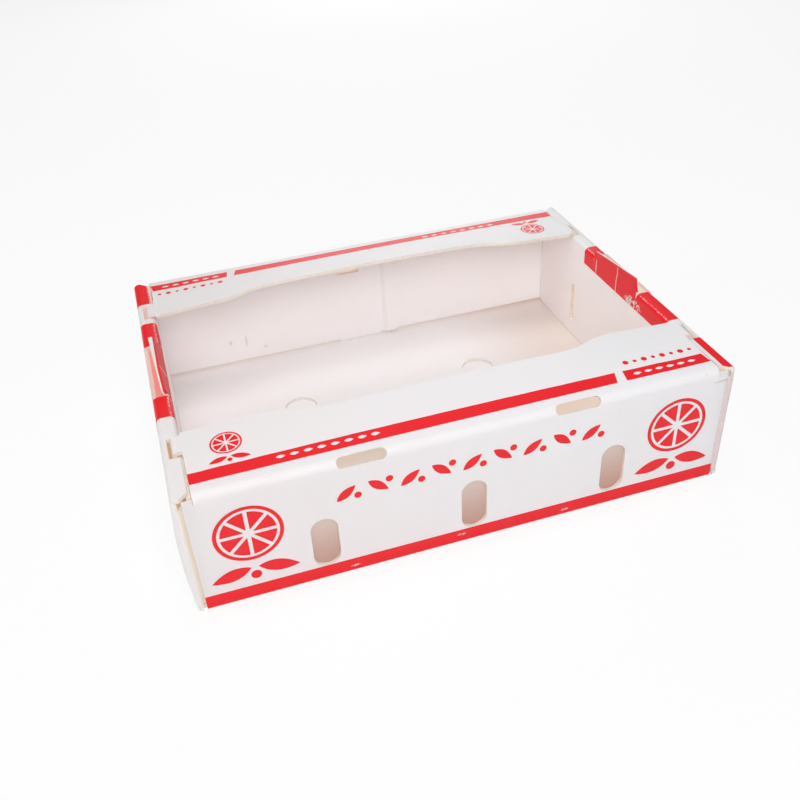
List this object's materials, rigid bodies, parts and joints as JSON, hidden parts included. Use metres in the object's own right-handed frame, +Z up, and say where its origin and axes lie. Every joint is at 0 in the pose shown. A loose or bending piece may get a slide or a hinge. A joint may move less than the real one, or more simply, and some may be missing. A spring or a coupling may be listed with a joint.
{
  "type": "corrugated plastic produce box",
  "caption": "Open-topped produce box folded from one white twin-wall plastic sheet, with inward flanges, rolled end ledges, stacking tabs and red print.",
  "frame": {"origin": "on the ground, under the middle of the floor", "axes": "+X along the long walls, +Y from the front wall to the back wall, +Z up"},
  "size_m": [0.405, 0.3, 0.111],
  "materials": {
    "sheet": "off-white twin-wall polypropylene board, satin, faint flute lines",
    "red_print": "bright red screen print, worn where the sheet is folded"
  },
  "bodies": {
    "root": {"folded_sheet": "sheet"}
  },
  "joints": []
}
